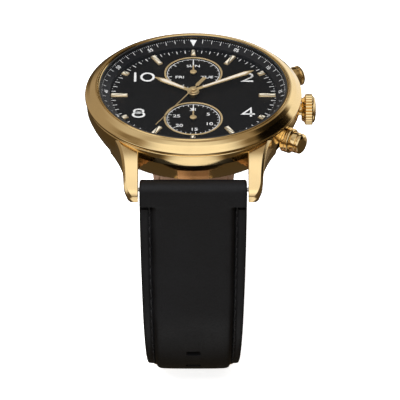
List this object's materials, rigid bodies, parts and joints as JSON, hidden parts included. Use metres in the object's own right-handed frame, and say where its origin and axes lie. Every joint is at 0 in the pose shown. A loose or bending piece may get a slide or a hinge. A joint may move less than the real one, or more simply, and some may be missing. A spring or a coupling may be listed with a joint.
{
  "type": "wristwatch",
  "caption": "Round wristwatch with a domed crystal, day and date sub-dials, crown, two pushers and a padded leather strap buckled into a loop.",
  "frame": {"origin": "centre of the case back's outer face, on the axis of the centre hands", "axes": "+Z out of the dial, +Y to 12 o'clock, +X to the crown"},
  "size_m": [0.0468, 0.0601, 0.0634],
  "materials": {
    "gold_plate": "polished gold-tone plating over steel",
    "steel": "fine brushed",
    "movement_brass": "machined",
    "crystal_glass": "clear mineral crystal",
    "gasket_rubber": "moulded",
    "dial_black": "satin black with white printing",
    "marker_gold": "polished frame with cream paint",
    "movement_plastic": "moulded",
    "strap_leather": "smooth padded leather with matching stitching",
    "lining_leather": "soft lining leather"
  },
  "bodies": {
    "watch_case": {"back_gasket": "gasket_rubber", "battery": "steel", "bezel": "gold_plate", "buckle_frame": "gold_plate", "buckle_pin": "steel", "case_back": "steel", "chapter_ring": "dial_black", "crown_tube": "steel", "crystal": "crystal_glass", "crystal_gasket": "gasket_rubber", "dial": "dial_black", "hour_marker_01": "marker_gold", "hour_marker_02": "marker_gold", "hour_marker_03": "marker_gold", "hour_marker_04": "marker_gold", "hour_marker_05": "marker_gold", "hour_marker_06": "marker_gold", "hour_marker_07": "marker_gold", "hour_marker_08": "marker_gold", "hour_marker_09": "marker_gold", "hour_marker_10": "marker_gold", "hour_marker_11": "marker_gold", "hour_marker_12": "marker_gold", "keeper_fixed": "strap_leather", "lower_pusher_collar": "gold_plate", "lower_pusher_spring": "steel", "lower_subdial_ring": "gold_plate", "main_plate": "movement_brass", "mid_case": "gold_plate", "movement_cover": "steel", "movement_holder": "movement_plastic", "spring_bar_12": "steel", "spring_bar_6": "steel", "strap_long": "strap_leather", "strap_long_lining": "lining_leather", "strap_short": "strap_leather", "strap_short_lining": "lining_leather", "upper_pusher_collar": "gold_plate", "upper_pusher_spring": "steel", "upper_subdial_ring": "gold_plate"},
    "minute_group": {"minute_hand": "gold_plate", "cannon_pinion": "movement_brass"},
    "hour_group": {"hour_hand": "gold_plate", "hour_wheel": "movement_brass"},
    "minute_wheel_group": {"minute_wheel": "movement_brass"},
    "seconds_group": {"seconds_hand": "gold_plate", "seconds_arbor": "steel"},
    "day_group": {"day_hand": "gold_plate", "day_wheel": "movement_brass"},
    "date_group": {"date_hand": "gold_plate", "date_wheel": "movement_brass"},
    "stem_slider": {"setting_lever": "steel"},
    "crown_group": {"crown": "gold_plate", "winding_stem": "steel"},
    "upper_pusher": {"upper_pusher_button": "gold_plate", "upper_pusher_clip": "steel"},
    "lower_pusher": {"lower_pusher_button": "gold_plate", "lower_pusher_clip": "steel"},
    "tongue": {"buckle_tongue": "gold_plate"},
    "free_keeper": {"keeper_free": "strap_leather"}
  },
  "joints": [
    {"name": "minute_turn", "type": "hinge", "parent": "watch_case", "child": "minute_group", "pos_m": [0, 0, 0.009], "axis": [0, 0, -1], "continuous": true},
    {"name": "hour_turn", "type": "hinge", "parent": "watch_case", "child": "hour_group", "pos_m": [0, 0, 0.009], "axis": [0, 0, -1], "continuous": true},
    {"name": "minute_wheel_turn", "type": "hinge", "parent": "watch_case", "child": "minute_wheel_group", "pos_m": [0.003, 0, 0.0076], "axis": [0, 0, -1], "continuous": true},
    {"name": "seconds_turn", "type": "hinge", "parent": "watch_case", "child": "seconds_group", "pos_m": [0, 0, 0.009], "axis": [0, 0, -1], "continuous": true},
    {"name": "day_turn", "type": "hinge", "parent": "watch_case", "child": "day_group", "pos_m": [0, 0.0083, 0.009], "axis": [0, 0, -1], "continuous": true},
    {"name": "date_turn", "type": "hinge", "parent": "watch_case", "child": "date_group", "pos_m": [0, -0.0083, 0.009], "axis": [0, 0, -1], "continuous": true},
    {"name": "stem_pull", "type": "slide", "parent": "watch_case", "child": "stem_slider", "axis": [1, 0, 0], "range_m": [0, 0.001]},
    {"name": "crown_turn", "type": "hinge", "parent": "stem_slider", "child": "crown_group", "pos_m": [0.022, 0, 0.0057], "axis": [1, 0, 0], "continuous": true},
    {"name": "upper_pusher_press", "type": "slide", "parent": "watch_case", "child": "upper_pusher", "axis": [-0.866, -0.5, 0], "range_m": [0, 0.0008], "stiffness_N_per_m": 1000, "springref_m": -0.0005, "deforming": ["upper_pusher_spring"]},
    {"name": "lower_pusher_press", "type": "slide", "parent": "watch_case", "child": "lower_pusher", "axis": [-0.866, 0.5, 0], "range_m": [0, 0.0008], "stiffness_N_per_m": 1000, "springref_m": -0.0005, "deforming": ["lower_pusher_spring"]},
    {"name": "tongue_swing", "type": "hinge", "parent": "watch_case", "child": "tongue", "pos_m": [0, 0.00089, -0.04555], "axis": [1, 0, 0], "range_deg": [0, 6]},
    {"name": "keeper_slide", "type": "hinge", "parent": "watch_case", "child": "free_keeper", "pos_m": [0, 0.011, -0.02914], "axis": [1, 0, 0], "range_deg": [-10, 14]}
  ],
  "couplings": [
    {"joint": "hour_turn", "follows": "minute_turn", "ratio": 0.083333},
    {"joint": "minute_wheel_turn", "follows": "minute_turn", "ratio": -0.33333},
    {"joint": "seconds_turn", "follows": "minute_turn", "ratio": 60}
  ]
}
